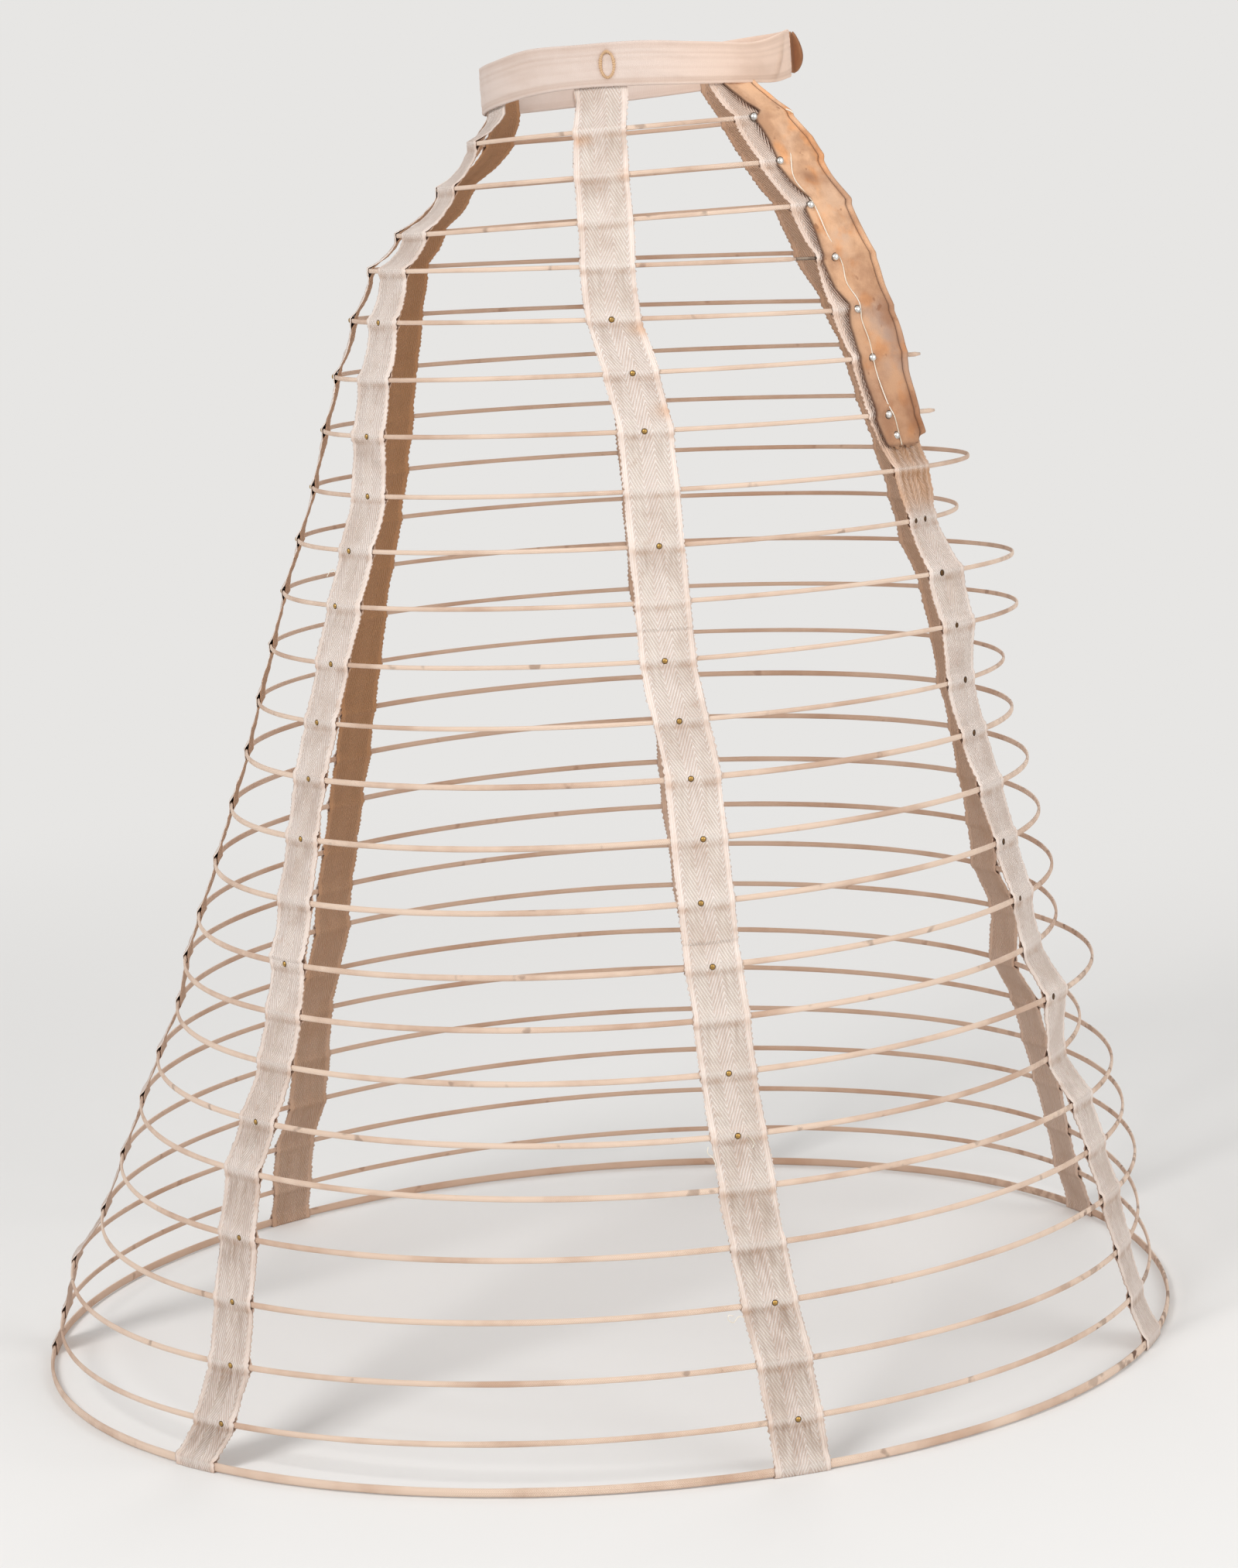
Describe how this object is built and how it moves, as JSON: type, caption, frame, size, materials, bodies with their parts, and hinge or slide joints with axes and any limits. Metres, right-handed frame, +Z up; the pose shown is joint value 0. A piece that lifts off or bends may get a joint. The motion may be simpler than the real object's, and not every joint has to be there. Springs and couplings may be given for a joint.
{
  "type": "crinoline cage",
  "caption": "Bell-shaped skirt support of covered steel hoops threaded through pockets in doubled tapes, hung from a waistband, with a leather-covered opening.",
  "frame": {"origin": "on the ground under the middle of the hem", "axes": "+Z up from the hem to the waistband, +X towards the opening, -Y the near side with the placket"},
  "size_m": [0.8186, 0.7981, 0.9165],
  "materials": {
    "hoop_cover": "matt braided cotton, cream-tan",
    "bare_steel": "dull, browned",
    "tape_twill": "matt herringbone twill, ivory with soiling",
    "waistband_twill": "matt folded twill, beige",
    "waistband_lining": "matt, brown",
    "placket_leather": "worn, orange-tan with brown stains",
    "stud_metal": "dull white metal",
    "brass_stud": "worn"
  },
  "bodies": {
    "root": {"hoop_01": "hoop_cover", "hoop_02": "hoop_cover", "hoop_03": "hoop_cover", "hoop_04": "hoop_cover", "hoop_05": "hoop_cover", "hoop_06": "hoop_cover", "hoop_07": "hoop_cover", "hoop_08": "hoop_cover", "hoop_09": "hoop_cover", "hoop_10": "hoop_cover", "hoop_11": "hoop_cover", "hoop_12": "hoop_cover", "hoop_13": "hoop_cover", "hoop_14": "hoop_cover", "hoop_15": "hoop_cover", "hoop_16": "hoop_cover", "hoop_17": "hoop_cover", "hoop_18": "hoop_cover", "hoop_19": "hoop_cover", "hoop_20": "hoop_cover", "hoop_21": "hoop_cover", "hoop_22": "hoop_cover", "hoop_23": "hoop_cover", "hoop_24": "hoop_cover", "hoop_25": "hoop_cover", "hoop_22_bare_steel": "bare_steel", "tape_opening_far": "tape_twill", "tape_side_far": "tape_twill", "tape_back_far": "tape_twill", "tape_back": "tape_twill", "tape_back_near": "tape_twill", "tape_side_near": "tape_twill", "tape_opening_near": "tape_twill", "waistband": "waistband_twill", "waistband_end": "waistband_lining", "placket": "placket_leather", "placket_studs": "stud_metal"}
  },
  "joints": []
}
